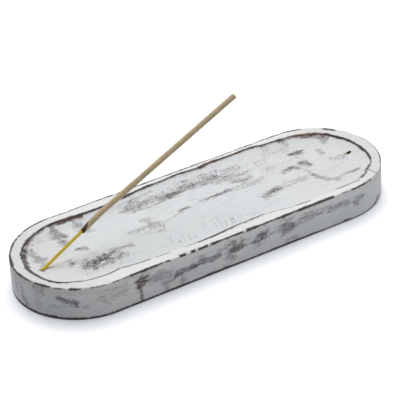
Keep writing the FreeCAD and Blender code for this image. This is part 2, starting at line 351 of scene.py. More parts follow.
@dataclass(frozen=True)
class WornWhitewash:
    """White paint, rubbed thin and through to dark wood, with raw wood in the holes and painted shade down in
    them.
    """

    paint: tuple = linear(229, 229, 228)
    # Cooler paint for the recess; the outer wall takes half of it as painted shade
    cool_paint_and_wall_shade: tuple = linear(217, 220, 222)
    dull_paint: tuple = linear(214, 213, 212)
    hazy_paint: tuple = linear(196, 199, 205)
    thin_paint: tuple = linear(150, 148, 152)
    brown_wood: tuple = linear(118, 86, 68)
    dark_wood: tuple = linear(64, 58, 57)
    plum_wood: tuple = linear(98, 92, 104)
    raw_wood: tuple = linear(222, 204, 128)
    # Painted shade: near-black down in the holes, where they lie in shade; it is not the wood's own colour
    painted_hole_shade: tuple = linear(24, 14, 8)

    def make(self) -> Material:
        """Build the material from the tray's own scuff, tint, ticked, wash, dull and drilled attributes."""
        material, sheet, shader = new_material("worn_whitewash")
        scuff, tint, ticked, wash, dull, drilled = (
            sheet.add("ShaderNodeAttribute", {"attribute_name": name}).outputs["Fac"]
            for name in ("scuff", "tint", "ticked", "wash", "dull", "drilled"))

        brushed = group_value(sheet, streak_group(), Along=75.0, Across=540.0, Turn=0.0)
        steep = group_value(sheet, streak_group(), Along=28.0, Across=240.0, Turn=math.radians(-72),
                            Broken=0.2)
        slanting = group_value(sheet, streak_group(), Along=240.0, Across=820.0, Turn=math.radians(-36))
        specks = group_value(sheet, mottle_group(), Coarse=560.0, Fine=900.0)
        clouds = group_value(sheet, mottle_group(), Coarse=28.0, Fine=210.0)
        grain = group_value(sheet, streak_group(), Along=60.0, Across=520.0, Turn=0.0)

        # Rubbed patches are streaked along the grain, and crossed by short strokes
        texture = sheet.math("MULTIPLY", slanting, 0.3)
        texture = sheet.math("ADD", sheet.math("MULTIPLY", brushed, 0.6), texture)
        texture = sheet.math("MULTIPLY_ADD", specks, 0.2, texture)
        uneven = sheet.math("SUBTRACT", texture, 0.56)
        # Besides wear, this carries painted shade along the base and at the left hole's mouth, shown as paint
        # worn through to dark wood
        worn = sheet.math("MULTIPLY", scuff, 1.3)
        ridge = sheet.math("ABSOLUTE", sheet.math("SUBTRACT", steep, 0.5))
        strokes = sheet.math("MULTIPLY", sheet.step(ridge, 0.06, 0.01), ticked)
        worn = sheet.math("MULTIPLY_ADD", strokes, 0.9, worn)
        thin = sheet.step(sheet.math("MULTIPLY_ADD", uneven, 1.5, worn), 0.1, 0.9)
        through = sheet.step(sheet.math("MULTIPLY_ADD", uneven, 1.9, worn), 0.6, 1.26)

        # The paint is cooler in the recess, half as cool on the outer wall as painted shade, darker towards
        # the ends and hazy along the brush marks
        cool = sheet.math("MULTIPLY_ADD", sheet.math("SUBTRACT", clouds, 0.5), 0.5, wash)
        paint = sheet.mix(sheet.step(cool, 0.0, 1.0), self.paint, self.cool_paint_and_wall_shade)
        paint = sheet.mix(dull, paint, self.dull_paint)
        haze = sheet.math("MULTIPLY", sheet.step(brushed, 0.48, 0.72), 0.42)
        paint = sheet.mix(sheet.math("MULTIPLY", haze, sheet.step(wash, 0.0, 1.0)), paint, self.hazy_paint)
        thinned = sheet.mix(sheet.math("MULTIPLY", thin, 0.9), paint, self.thin_paint)
        warm = sheet.mix(sheet.step(tint, 0.0, 1.0), self.dark_wood, self.brown_wood)
        wood = sheet.mix(sheet.step(tint, 0.0, -1.0), warm, self.plum_wood)
        grained = sheet.mix(sheet.math("MULTIPLY", sheet.step(grain, 0.4, 0.7), 0.5), wood, self.dark_wood)
        surface = sheet.mix(through, thinned, grained)
        # Raw wood at the holes' mouths, and painted shade further down
        hole = sheet.mix(sheet.step(drilled, 0.55, 1.0), self.raw_wood, self.painted_hole_shade)
        surface = sheet.mix(sheet.step(drilled, 0.05, 0.5), surface, hole)

        rough = sheet.math("MULTIPLY_ADD", through, 0.15, 0.62)
        height = sheet.math("MULTIPLY_ADD", brushed, 0.25, sheet.math("SUBTRACT", 1.0, through))
        wire_surface(sheet, shader, surface, rough, height, strength=0.35, depth=0.15)
        return material


@dataclass(frozen=True)
class DyedBamboo:
    """Split bamboo dyed yellow, with darker fibres along it."""

    dye: tuple = linear(218, 187, 22)
    fibre: tuple = linear(184, 149, 13)
    pale: tuple = linear(228, 205, 60)

    def make(self) -> Material:
        """Build the material on the splint's own UV map, which runs along it."""
        material, sheet, shader = new_material("dyed_bamboo")
        along = sheet.add("ShaderNodeUVMap", {"uv_map": "along"}).outputs[0]
        drawn = sheet.add("ShaderNodeVectorMath", {"operation": "MULTIPLY"}, i0=along, i1=(26.0, 14.0, 1.0))
        fibres = sheet.add("ShaderNodeTexNoise", Vector=drawn.outputs[0], Scale=1.0, Detail=4.0,
                           Roughness=0.65).outputs["Fac"]
        patches = group_value(sheet, mottle_group(), Coarse=120.0, Fine=700.0)
        colour = sheet.mix(sheet.step(fibres, 0.45, 0.7), self.dye, self.fibre)
        colour = sheet.mix(sheet.math("MULTIPLY", patches, 0.3), colour, self.pale)
        rough = sheet.math("MULTIPLY_ADD", fibres, 0.2, 0.42)
        wire_surface(sheet, shader, colour, rough, fibres, strength=0.5, depth=0.05)
        return material


@dataclass(frozen=True)
class RolledPaste:
    """Dry paste of wood powder and gum: tan, with pinkish, greenish and dark flecks."""

    tan: tuple = linear(210, 191, 152)
    green: tuple = linear(182, 171, 132)
    pink: tuple = linear(207, 181, 158)
    fleck: tuple = linear(112, 92, 66)
    # Painted shade: the slanting face where the paste snapped off lies in shade, and is coloured dark for it
    broken: tuple = linear(62, 46, 34)

    def make(self) -> Material:
        """Build the material; the broken attribute paints shade on the lower end's face, darkening it."""
        material, sheet, shader = new_material("rolled_paste")
        broken = sheet.add("ShaderNodeAttribute", {"attribute_name": "broken"}).outputs["Fac"]
        wide = group_value(sheet, mottle_group(), Coarse=150.0, Fine=420.0)
        other = group_value(sheet, mottle_group(), Coarse=260.0, Fine=900.0)
        flecks = group_value(sheet, mottle_group(), Coarse=1500.0, Fine=4200.0)
        colour = sheet.mix(sheet.math("MULTIPLY", wide, 0.75), self.tan, self.green)
        colour = sheet.mix(sheet.math("MULTIPLY", other, 0.45), colour, self.pink)
        colour = sheet.mix(sheet.math("MULTIPLY", sheet.step(flecks, 0.6, 0.95), 0.45), colour, self.fleck)
        # Painted shade on the snapped-off face and on the bare skin below it
        colour = sheet.mix(sheet.step(broken, 0.2, 0.8), colour, self.broken)
        rough = sheet.math("MULTIPLY_ADD", flecks, 0.15, 0.78)
        wire_surface(sheet, shader, colour, rough, flecks, strength=0.6, depth=0.12)
        return material


def geometry_tree(name: str, inputs: dict[str, str]) -> tuple[NodeSheet, bpy.types.NodeOutputs]:
    """Start a geometry node tree.

    Args:
        name: The tree's name.
        inputs: The names of its inputs and their kinds, such as Float.

    Returns:
        The tree's sheet of nodes and the sockets of its inputs.
    """
    tree = bpy.data.node_groups.new(name, "GeometryNodeTree")
    for label, kind in inputs.items():
        tree.interface.new_socket(label, in_out="INPUT", socket_type=f"NodeSocket{kind}")
    tree.interface.new_socket("Geometry", in_out="OUTPUT", socket_type="NodeSocketGeometry")
    return NodeSheet(tree), tree.nodes.new("NodeGroupInput").outputs


def run_tree(piece: Object, tree: NodeTree, values: dict[str, object]) -> None:
    """Put a geometry node tree on an object and set its named inputs by their sockets' identifiers."""
    modifier = piece.modifiers.new(tree.name, "NODES")
    modifier.node_group = tree
    for item in tree.interface.items_tree:
        if item.name in values:
            modifier[item.identifier] = values[item.name]


def plain_mesh(piece: Object) -> Mesh:
    """Make a plain mesh of an object as its modifiers leave it."""
    graph = bpy.context.evaluated_depsgraph_get()
    return bpy.data.meshes.new_from_object(piece.evaluated_get(graph), depsgraph=graph)


def settle(piece: Object) -> None:
    """Turn an object's modifiers into a plain mesh and drop them."""
    mesh = plain_mesh(piece)
    mesh.name = piece.name
    piece.modifiers.clear()
    piece.data = mesh


def write_attribute(mesh: Mesh, name: str, values: np.ndarray) -> None:
    """Store one number for each vertex."""
    layer = mesh.attributes.new(name, "FLOAT", "POINT")
    layer.data.foreach_set("value", values.astype(np.float32))


def read_points(mesh: Mesh) -> np.ndarray:
    """Read a mesh's vertices in millimetres."""
    flat = np.empty(len(mesh.vertices) * 3)
    mesh.vertices.foreach_get("co", flat)
    return flat.reshape(-1, 3) / MM


def write_points(mesh: Mesh, points: np.ndarray) -> None:
    """Write a mesh's vertices from millimetres."""
    mesh.vertices.foreach_set("co", (points * MM).ravel())
    mesh.update()


class Wear(Enum):
    """How the paint came off."""

    RUBBED = "rubbed through along the grain"
    TICKED = "crossed by short strokes"


@dataclass(frozen=True)
class Scuff:
    """One place where the paint is worn, along a path of photograph pixels.

    The width is in millimetres. A strength of about 0.4 thins the paint and 0.9 goes through to the wood;
    at -1 the paint has stayed on. The tint runs from -1, plum grey, to 1, red brown. The inset moves a mark
    on an edge in towards the middle.
    """

    surface: Surface
    path: tuple[Pixel, ...]
    width: float
    strength: float
    tint: float = 0.0
    inset: float = 0.0
    wear: Wear = Wear.RUBBED

    def shade(self, away: np.ndarray, ragged: np.ndarray) -> np.ndarray:
        """Give the mark's strength at distances from its path.

        Args:
            away: The distances.
            ragged: Noise in the same places, which breaks up the mark's outline.

        Returns:
            The strengths. A mark on a face has a soft halo of set reach; one on an edge is crisp.
        """
        if self.surface not in (Surface.FLOOR, Surface.SIDE):
            return self.strength * ease(1.25 - 2.0 * (away / self.width + 0.16 * ragged))
        core = ease(1.2 - 1.6 * (away / self.width + 0.4 * ragged))
        halo = ease(1.1 - (away + 3.0 * ragged) / (0.6 * self.width + 4.0))
        return self.strength * (0.78 * core + 0.2 * halo)


def marks(surface: Surface, *rows: tuple, wear: Wear = Wear.RUBBED) -> tuple[Scuff, ...]:
    """Make marks that lie on one surface.

    Args:
        surface: Where they lie.
        rows: For each mark its width, strength, tint and inset, and then the pixels of its path.
        wear: How the paint came off.

    Returns:
        The marks, in the order of the rows.
    """
    return tuple(Scuff(surface, row[4:], *map(float, row[:4]), wear) for row in rows)


FLOOR, RIM, SIDE = Surface.FLOOR, Surface.RIM, Surface.SIDE
INNER, OUTER, BASE = Surface.INNER_EDGE, Surface.OUTER_EDGE, Surface.BASE_EDGE

# The recess's edge as the photograph shows it: along the far side, round the right end, back along the near
# side and round the left end
RECESS_EDGE: tuple[Pixel, ...] = (
    (22, 252), (23.5, 246), (27.5, 240.5), (33, 235), (40, 230), (46, 226.5), (53, 223), (60, 220.5),
    (66, 218.5), (73, 216.5), (80, 214.5), (93, 210.2), (107, 204.7), (136, 191), (145, 187),
    (152, 184.5), (160, 181.5), (170, 177), (180, 173), (190, 170.5), (200, 167), (207, 163.5),
    (213, 161), (220, 159), (236, 153), (250, 147.5), (256, 146), (262, 145.3), (272, 142), (280, 139.7),
    (290, 136.7), (300, 134.8), (310, 134), (326, 133.8), (333, 136), (340, 137.5), (348, 140),
    (355, 143.5), (362, 148.5), (367, 153), (370, 158), (370.5, 162), (368.5, 167), (366, 170.5),
    (362, 176), (358, 180), (350, 183), (338, 188), (332, 191), (322, 195.3), (310, 200), (290, 207),
    (275, 210.7), (260, 215), (250, 219), (240, 223), (229, 227.8), (220, 232), (210, 236.5),
    (200, 240.7), (190, 244.5), (168, 252.5), (156, 256.7), (140, 262), (130, 265), (119, 268),
    (110, 272.5), (100, 276), (90, 279), (80, 280.5), (70, 281.5), (60, 281.7), (52, 280.5), (46, 279),
    (40, 275.5), (30, 269), (26, 266), (22.8, 259))

FLOOR_WEAR_AND_HOLE_SHADE = (
    marks(FLOOR,
        # The long band along the far half of the floor, darkest in its middle
        (17, 0.37, 0, 0, (128, 208), (150, 200), (175, 190), (200, 181), (225, 174), (236, 172)),
        (9, 0.5, 0.3, 0, (163, 198), (176, 192.5), (190, 187), (206, 180.5), (222, 175)),
        (6, 0.52, 0.5, 0, (168, 196), (183, 190)), (8, 0.42, -0.8, 0, (130, 208), (146, 202)),
        (8, 0.52, 0, 0, (234, 182), (251, 176.5)), (13, 0.24, 0, 0, (225, 176), (246, 169), (268, 162)),
        # Streaks nearer the middle
        (4.5, 0.56, 0, 0, (202, 200.5), (212, 197), (228, 190)),
        (7, 0.32, -0.5, 0, (228, 189), (250, 184), (262, 177)), (3.4, 0.62, 0, 0, (181, 210), (188, 207)),
        (2.6, 0.42, 0, 0, (160, 225), (182, 211)), (13, 0.39, -0.4, 0, (149, 222), (158, 228)),
        (10, 0.36, -0.4, 0, (134, 232), (147, 227)),
        # The patch towards the left end and its tail
        (17, 0.32, 0, 0, (86, 265), (98, 259), (120, 254)), (10, 0.68, 0.4, 0, (98, 261), (107, 256)),
        (4.5, 0.5, 0, 0, (95, 268), (107, 262)), (5, 0.46, 0, 0, (110, 261), (119, 256)),
        (5, 0.5, 0, 0, (84, 268), (92, 262)), (5, 0.4, 0, 0, (88, 263), (98, 265)),
        (5.5, 0.55, 0, 0, (112, 250), (121, 247.5), (131, 245)),
        # Marks round the stick's foot
        (5, 0.6, 0, 0, (76, 249.5), (85, 247.5)), (12, 0.52, 0, 0, (31, 255), (43, 262)),
        (5, 0.58, 0, 0, (50, 228), (66, 237)), (9, 0.54, 0, 0, (54, 235), (66, 244)),
        (10, 0.5, 0, 0, (73, 223), (85, 229)), (4, 0.55, 0, 0, (70, 261), (71.5, 266)),
        (3.5, 0.45, 0, 0, (68, 264), (74, 263)), (8, 0.3, 0.8, 0, (30, 244), (38, 239)),
        # Painted shade: the dark spot at the left hole's mouth, beside the stick
        (2.4, 1.0, 0.6, 0, (40, 270), (43, 271)),
        # Spots, streaks and the wavy line at the right
        (10, 0.56, 0.2, 0, (265, 195), (276, 189)), (5, 0.5, 0, 0, (268, 193.5), (274, 191.5)),
        (7, 0.4, 0, 0, (276, 188), (290, 183), (305, 178)), (10, 0.74, 0, 0, (295, 154), (299, 153)),
        (10, 0.74, 0, 0, (301, 163), (308, 163.5)), (6.5, 0.6, 0, 0, (283, 172.5), (290, 168.5), (297, 168)),
        (4.6, 0.44, 0, 0, (297, 168), (307, 170), (316, 176), (327, 179), (336, 179), (345, 173), (358, 169)),
        (5, 0.42, 0, 0, (313, 175), (320, 177)), (5, 0.42, 0, 0, (326, 179), (336, 179)),
        (5.5, 0.42, 0, 0, (344, 173.5), (357, 169)), (5, 0.4, 1.0, 0, (281, 141), (286, 145)),
        (8, 0.56, 1.0, 0, (311, 136.5), (324, 139)), (16, 0.3, 0, 0, (268, 153), (283, 153)),
        (8, 0.42, 0, 0, (334, 158), (342, 156)), (5, 0.5, 0, 0, (318, 150), (322, 153)),
        (3, 0.65, 0, 0, (343, 154.5), (346, 153)),
        # Faint smears
        (20, 0.17, -0.6, 0, (150, 214), (185, 202), (225, 189)), (16, 0.2, -0.8, 0, (225, 195), (262, 181)),
        (15, 0.2, 0, 0, (262, 172), (290, 160)), (18, 0.13, -0.6, 0, (100, 246), (140, 233)),
        (14, 0.12, 0, 0, (325, 170), (352, 162)))
    + marks(FLOOR,
        # Short strokes across the floor
        (16, 0.6, 0, 0, (206, 222), (231, 222)), (11, 0.58, 0, 0, (172, 240), (192, 235)),
        (9, 0.5, 0, 0, (143, 252), (160, 246)), (14, 0.4, 0, 0, (138, 230), (158, 225)),
        (17, 0.22, 0, 0, (180, 180), (225, 170), (268, 158)), (10, 0.45, 0, 0, (232, 219), (256, 211)),
        (13, 0.2, 0, 0, (126, 209), (165, 195)), (18, 0.18, 0, 0, (86, 266), (118, 257)),
        (8, 0.5, 0, 0, (66, 271), (84, 273)),
        wear=Wear.TICKED))

# The recess's edge
INNER_EDGE_WEAR = marks(INNER,
    (3, 1.1, -0.2, 0.2, (23.5, 246), (22, 252), (22.8, 259), (26, 266)),
    (7, 1.2, 0.3, 2.0, (23.5, 248), (22, 252), (22.8, 259), (26, 265)),
    (5, 0.85, 0.35, 1.0, (27, 245), (33, 235), (40, 230), (51, 224), (58, 221)),
    (1.8, 0.8, 0, 0, (27, 245), (33, 235), (40, 230), (51, 224), (58, 221)),
    (6, 1.0, 0.6, 1.0, (57, 221.5), (66, 218.5), (73, 216.5), (80, 215)),
    (2.3, 1.0, 0, 0, (79, 216), (93, 211), (107, 205)),
    (2.7, 1.0, 0, 0, (107, 205), (126, 195), (150, 185.5)),
    (2, 0.95, 0, 0, (150, 185.5), (170, 178), (200, 167)),
    (4, 1.0, 0.7, 0, (200, 167), (207, 164), (216, 160.5)),
    (2.5, 1.0, 0.5, 0, (216, 160.5), (236, 153), (258, 146)), (1.9, 0.85, 0, 0, (258, 146), (281, 140)),
    (5.5, 0.8, 1.0, 1.2, (279, 140.5), (292, 136.5), (305, 134.5), (322, 134.5)),
    (1.8, 0.7, 1.0, 0, (281, 140), (292, 136.5), (305, 134.5), (322, 134.5)),
    (3.2, 1.15, -0.1, 0.2, (326, 134), (340, 137), (352, 142.5), (362, 149), (369, 156), (371, 163)),
    (5.4, 1.05, 0.3, 0.8, (371, 163), (369, 168), (362, 176.5)),
    (2.4, 1.0, 0, -0.5, (358, 180), (345, 185), (337, 188.5)),
    (1.5, 0.4, 0, 0, (337, 188.5), (325, 194), (312, 199)),
    (2.2, 0.8, 0, -0.5, (310, 200), (280, 209), (262, 214)),
    (3.6, 1.1, 0, -0.7, (262, 214), (240, 223), (199, 241)), (2, 0.7, 0, -0.5, (197, 241.7), (185, 246)),
    (2, 0.7, 0, -0.5, (170, 252), (156, 256.7)),
    (2.9, 0.95, 0, -0.6, (150, 259), (130, 265), (118, 268.5)),
    (3.1, 1.1, 0, -0.5, (119, 268), (110, 272.5), (100, 276), (75, 281), (52, 280.5)),
    (4.4, 1.15, 0.1, -0.7, (60, 281.7), (52, 280.5), (40, 275.5), (28, 267)))

# The rim's outer edge, a crack in the rim, and places on the edge where the paint stayed on
OUTER_EDGE_WEAR = (
    marks(OUTER,
        (3.8, 1.15, 0, 0.6, (15, 239), (9.5, 248), (9, 255), (11, 266)),
        (2.8, 1.05, 0, 0, (11, 266), (20, 277), (32, 285)),
        (2.8, 0.95, 0, 0.6, (32, 285), (37, 284.5), (48, 288.5)), (2.2, 0.95, 0, 0, (54, 289), (63, 290)),
        (3.6, 1.1, 0, 0, (70, 291), (74, 291)), (2.2, 0.85, 0, 0, (74, 291), (80, 291)),
        (2, 0.85, 0.6, 0, (80, 291), (105, 285), (131, 275)),
        (2.9, 1.1, 0, 0, (131, 275), (150, 267), (172, 260)), (4, 1.15, 0, 0.3, (181, 257), (188, 254)),
        (4.4, 1.15, 0, 0.4, (192, 252.5), (196, 250.5)), (3.8, 1.15, 0, 0.3, (199.5, 249), (208, 245.5)),
        (3.8, 1.1, 0, 0.2, (211, 244.5), (219, 241.5)), (3, 1.0, 0, 0, (219, 241.5), (244, 231.5)),
        (3.8, 1.15, 0, 0.2, (247, 230.5), (256, 227)), (2.9, 1.0, 0, 0, (256, 227), (284, 215.5)),
        (3.8, 1.2, 0, 0, (284, 215.5), (300, 209), (334, 196.5)),
        (1.8, 0.55, 0, 0, (338, 195), (352, 189.5)), (2.8, 0.95, 0, 0, (353, 189), (371, 179)),
        (1.8, 0.5, 0, 0, (371, 179), (379, 172)), (5.5, 0.9, -0.2, 1.6, (324, 129.5), (333, 131)),
        (2.4, 0.85, 0, 0.4, (356, 139), (368, 146), (379, 163)),
        (3.4, 1.1, 0, 0.7, (17, 236), (40, 220), (60, 211), (150, 178), (220, 152), (280, 132.5),
         (300, 128.5)),
        (4, 0.8, 0, 1.0, (219, 153), (221, 152.5)), (4, 0.6, 0.6, 1.2, (246, 143), (249, 142)))
    + marks(RIM,
        (1.6, 0.7, 0, 0, (368, 169), (376, 172.5)))
    + marks(OUTER,
        (4, -0.9, 0, 0, (173, 260), (179.5, 257.5)), (4, -1.0, 0, 0, (188.7, 254), (190.7, 253)),
        (3, -1.0, 0, 0, (197.3, 250.4), (198.5, 249.8)), (2.6, -1.0, 0, 0, (209.3, 245), (210.5, 244.6)),
        (2.6, -1.0, 0, 0, (245, 231.3), (246, 230.9)), (3, -0.9, 0, 0, (335.5, 196), (338, 195))))

# The outer wall, from the left end along the near side to the right end
SIDE_WEAR = marks(SIDE,
    (6, 0.5, 0, 0, (23, 295), (26, 302)), (5, 0.4, 0, 0, (15, 276), (17, 290)),
    (4, 0.36, -0.5, 0, (21, 283), (21.5, 292)), (6, 0.3, -0.5, 0, (36, 290), (38, 306)),
    (7, 0.45, 0, 0, (34, 285), (40, 290)), (5.5, 0.66, 0, 0, (60, 299), (66, 301.5), (76, 304)),
    (4, 0.36, 0, 0, (50, 307), (72, 306)), (5, 0.4, 0, 0, (77, 303), (88, 306)),
    (13, 0.34, -0.8, 0, (106, 298), (125, 289)), (8.5, 0.76, 1.0, 0, (139, 283), (144, 281)),
    (9, 0.34, -0.4, 0, (136, 281), (150, 278)), (3.4, 0.7, 0, 0, (140.5, 286), (142.5, 300)),
    (10, 0.45, -0.9, 0, (147, 280), (170, 274)), (5, 0.4, 0, 0, (163, 280), (168, 290)),
    (9.5, 0.64, -0.3, 0, (179, 274), (192, 267)), (5, 0.45, 0, 0, (182, 276), (184, 286)),
    (5, 0.45, -0.3, 0, (192, 266), (201, 262)),
    (5.5, 0.6, -0.3, 0, (201, 259.5), (212, 260), (219, 255)), (5, 0.4, 0, 0, (219, 251), (228, 248)),
    (10, 0.68, 0.9, 0, (234, 248), (240, 245)), (12, 0.32, -0.5, 0, (227, 250), (248, 242)),
    (6, 0.42, 0, 0, (229, 256), (234, 259)), (10, 0.6, 0, 0, (257, 241), (264, 234)),
    (5, 0.4, 0, 0, (264, 236), (280, 230)), (12, 0.62, -0.5, 0, (285, 229), (291, 225)),
    (9, 0.44, -0.6, 0, (294, 224), (305, 219), (317, 213)),
    (6, 0.52, -0.4, 0, (322, 211), (335, 207), (347, 203.5)), (6, 0.54, 0, 0, (355, 203), (361, 197)),
    (6, 0.4, 0, 0, (286, 242), (296, 238)), (2.8, 0.9, 0, 0, (374, 207), (378.5, 194)))

# The edge that the tray stands on: wear through to dark wood, and partly painted shade of the gap at its foot
BASE_EDGE_WEAR_AND_SHADE = marks(BASE,
    (6, 1.1, 0, 0, (18, 300), (30, 309), (42, 314.5), (55, 318), (70, 320), (85, 320)),
    (5, 1.0, 0, 0, (138, 301), (147, 298)), (5.5, 1.1, 0, 0, (168, 290), (186, 284)),
    (5.5, 1.1, 0, 0, (203, 277), (232, 265)), (4.5, 1.0, 0, 0, (285, 245), (312, 234)),
    (5, 1.1, 0, 0, (344, 221), (348, 219)), (4, 1.0, 0, 0, (372, 209), (379, 199)))


@dataclass(frozen=True)
class Handwork:
    """How uneven the tray's maker left it. Lengths are in millimetres.

    The knife wavers along the recess's edge, between two distances inside the outline. The top dips, the wall
    is pared and the two upper arrises are nicked, each over a reach or run of its own.
    """

    knife: Ripple = Ripple(0.15, 0.5, 3.0)
    waver_from: float = 3.0
    waver_to: float = 24.0
    dip: Ripple = Ripple(0.12, 0.05, 4.0)
    dip_run: float = 2.0
    pare: Ripple = Ripple(0.1, 0.07, 5.0)
    fine_pare: Ripple = Ripple(0.04, 0.4, 6.0)
    pare_run: float = 1.5
    nick: Ripple = Ripple(1.5, 0.11, 7.0)
    nick_least: float = 0.12
    fine_nick: Ripple = Ripple(0.7, 0.5, 8.0)
    fine_nick_least: float = 0.2
    outer_reach: float = 2.2
    outer_share: float = 0.6
    inner_reach: float = 1.6
    inner_depth: float = 0.6
    inner_share: float = 0.5


@dataclass(frozen=True)
class PaintWear:
    """How the paint wears and fades. Lengths are in millimetres, and places are along the tray."""

    patchy: Ripple = Ripple(0.5, 0.09, 11.0)
    fine_patchy: Ripple = Ripple(0.35, 0.4, 12.0)
    ragged: Ripple = Ripple(1.0, 0.22, 41.0)
    fine_ragged: Ripple = Ripple(0.8, 0.6, 42.0)
    grain_stretch: Triple = (0.4, 1.0, 1.0)
    overlap: float = 0.25
    far_smudges: int = 25
    end_smudges: int = 6
    rim_dull_from: float = 90.0
    rim_dull_run: float = 40.0
    rim_dull: float = 0.85
    left_dull_from: float = 80.0
    left_dull_run: float = 40.0
    right_dull_from: float = 30.0
    right_dull_run: float = 80.0
    floor_dull: float = 0.5


@dataclass
class Tray:
    """The carved wooden tray. Sizes are in millimetres."""

    length: float
    width: float
    height: float
    rim_width: float = 8.0
    recess_depth: float = 5.0
    wall_height: float = 1.4
    dish_run: float = 13.0
    inner_edge_radius: float = 0.5
    outer_edge_radius: float = 1.0
    base_edge_radius: float = 0.8
    hole_radius: float = 1.5
    hole_depth: float = 12.0
    hole_inset: float = 20.5
    spare_inset: float = 17.0
    hole_lean: float = 30.0
    lip_gap: float = 0.15
    edge_drop: float = 0.3
    floor_slack: float = 0.5
    around: int = 860
    seed: int = 7
    work: Handwork = Handwork()
    wear: PaintWear = PaintWear()
    piece: Object | None = field(default=None, init=False)
    edge_turns: np.ndarray = field(default_factory=lambda: np.zeros(1), init=False)
    edge_strays: np.ndarray = field(default_factory=lambda: np.zeros(1), init=False)

    @property
    def end_radius(self) -> float:
        """The radius of the round ends."""
        return self.width / 2

    @property
    def floor_height(self) -> float:
        """The height of the recess's floor."""
        return self.height - self.recess_depth

    def inward(self, points: np.ndarray) -> np.ndarray:
        """Measure how far points lie inside the outer outline, seen from above."""
        return self.end_radius - np.linalg.norm(points[:, :2] - self.spine(points), axis=1)

    def spine(self, points: np.ndarray) -> np.ndarray:
        """Find the nearest points of the tray's middle line, seen from above."""
        half_straight = self.length / 2 - self.end_radius
        nearest = np.zeros((len(points), 2))
        nearest[:, 0] = np.clip(points[:, 0], -half_straight, half_straight)
        return nearest

    def outward(self, points: np.ndarray) -> np.ndarray:
        """Give the level directions from the middle line out to the points."""
        away = points[:, :2] - self.spine(points)
        reach = np.linalg.norm(away, axis=1, keepdims=True)
        return away / np.maximum(reach, 1e-6)

    def on_top(self, points: np.ndarray) -> np.ndarray:
        """Tell which points lie above the recess's floor or on it."""
        return points[:, 2] > self.floor_height - self.floor_slack

    def on_outline(self, points: np.ndarray) -> np.ndarray:
        """Find the places on the outer outline that the points lie beside, seen from above."""
        flat = np.zeros((len(points), 3))
        flat[:, :2] = self.spine(points) + self.outward(points) * self.end_radius
        return flat

    def trace_edge(self, view: PhotoView) -> None:
        """Take the recess's hand-carved edge from its trace in the photograph."""
        places = np.array([view.on_level(pixel, self.height - self.edge_drop) for pixel in RECESS_EDGE])
        beside = self.on_outline(places)
        self.edge_turns = np.arctan2(beside[:, 1], beside[:, 0])
        self.edge_strays = self.rim_width - self.inward(places)

    def wander(self, points: np.ndarray) -> np.ndarray:
        """Give how far outwards the knife strayed along the recess's edge beside the points."""
        beside = self.on_outline(points)
        turns = np.arctan2(beside[:, 1], beside[:, 0])
        strays = np.interp(turns, self.edge_turns, self.edge_strays, period=2 * math.pi)
        return strays + self.work.knife.at(beside)

    def floor_at(self, inside: np.ndarray) -> np.ndarray:
        """Give the height of the dished floor at distances inside the outer outline."""
        share = np.clip((inside - self.rim_width) / self.dish_run, 0.0, 1.0)
        return self.floor_height + (self.recess_depth - self.wall_height) * (1.0 - share) ** 1.5

    def profile(self) -> list[tuple[float, float]]:
        """Give the section from the middle of the base, out, up and over the rim to the floor's middle.

        Returns:
            Pairs of the distance inside the outer outline and the height.
        """
        def corner(middle: tuple[float, float], radius: float, start: float, steps: int) -> list:
            """Round a corner of the section by a quarter circle, from a starting angle in degrees."""
            turns = [math.radians(start + 90.0 * i / steps) for i in range(steps + 1)]
            return [(middle[0] + radius * math.cos(a), middle[1] + radius * math.sin(a)) for a in turns]

        def run(first: tuple[float, float], last: tuple[float, float], gap: float) -> list:
            """Space points evenly between two corners, leaving both out."""
            return between(first, last, gap)[:-1]

        top, middle = self.height, self.end_radius
        blunt, round_off, lip = self.base_edge_radius, self.outer_edge_radius, self.inner_edge_radius
        base = corner((blunt, blunt), blunt, 180.0, 4)[::-1]
        outer = corner((round_off, top - round_off), round_off, 90.0, 6)[::-1]
        inner = corner((self.rim_width - lip, top - lip), lip, 0.0, 5)[::-1]
        across = np.linspace(self.rim_width, middle, 41)
        dish = list(zip(across.tolist(), self.floor_at(across).tolist()))
        stretches = [[(middle, 0.0)], run((middle, 0.0), base[0], 6.0), base,
                     run(base[-1], outer[0], 1.0), outer, run(outer[-1], inner[0], 0.9), inner,
                     run(inner[-1], dish[0], 0.45), dish]
        return [point for stretch in stretches for point in stretch]

    def sweep_tree(self) -> NodeTree:
        """Make the node tree that carries the section round a round-ended path."""
        sheet, entry = geometry_tree("round_ended_sweep", {
            "Section": "Geometry", "Length": "Float", "Width": "Float", "Around": "Int",
            "Finish": "Material"})
        tree = sheet.tree
        block = sheet.add("GeometryNodeCurvePrimitiveQuadrilateral", Width=entry["Length"],
                          Height=entry["Width"])
        half = sheet.math("DIVIDE", entry["Width"], 2.0)
        rounded = sheet.add("GeometryNodeFilletCurve", {"mode": "POLY"}, Curve=block.outputs[0], Radius=half)
        sheet.feed(rounded.inputs["Limit Radius"], True)
        sheet.feed(rounded.inputs["Count"], 90)
        even = sheet.add("GeometryNodeResampleCurve", Curve=rounded.outputs[0], Count=entry["Around"])
        level = sheet.add("GeometryNodeSetCurveNormal", {"mode": "Z_UP"}, Curve=even.outputs[0])
        swept = sheet.add("GeometryNodeCurveToMesh", Curve=level.outputs[0],
                          Profile_Curve=entry["Section"])
        joined = sheet.add("GeometryNodeMergeByDistance", Geometry=swept.outputs[0], Distance=0.01 * MM)
        real = sheet.add("GeometryNodeRealizeInstances", Geometry=joined.outputs[0])
        dressed = sheet.add("GeometryNodeSetMaterial", Geometry=real.outputs[0],
                            Material=entry["Finish"])
        tree.links.new(dressed.outputs[0], tree.nodes.new("NodeGroupOutput").inputs[0])
        return tree

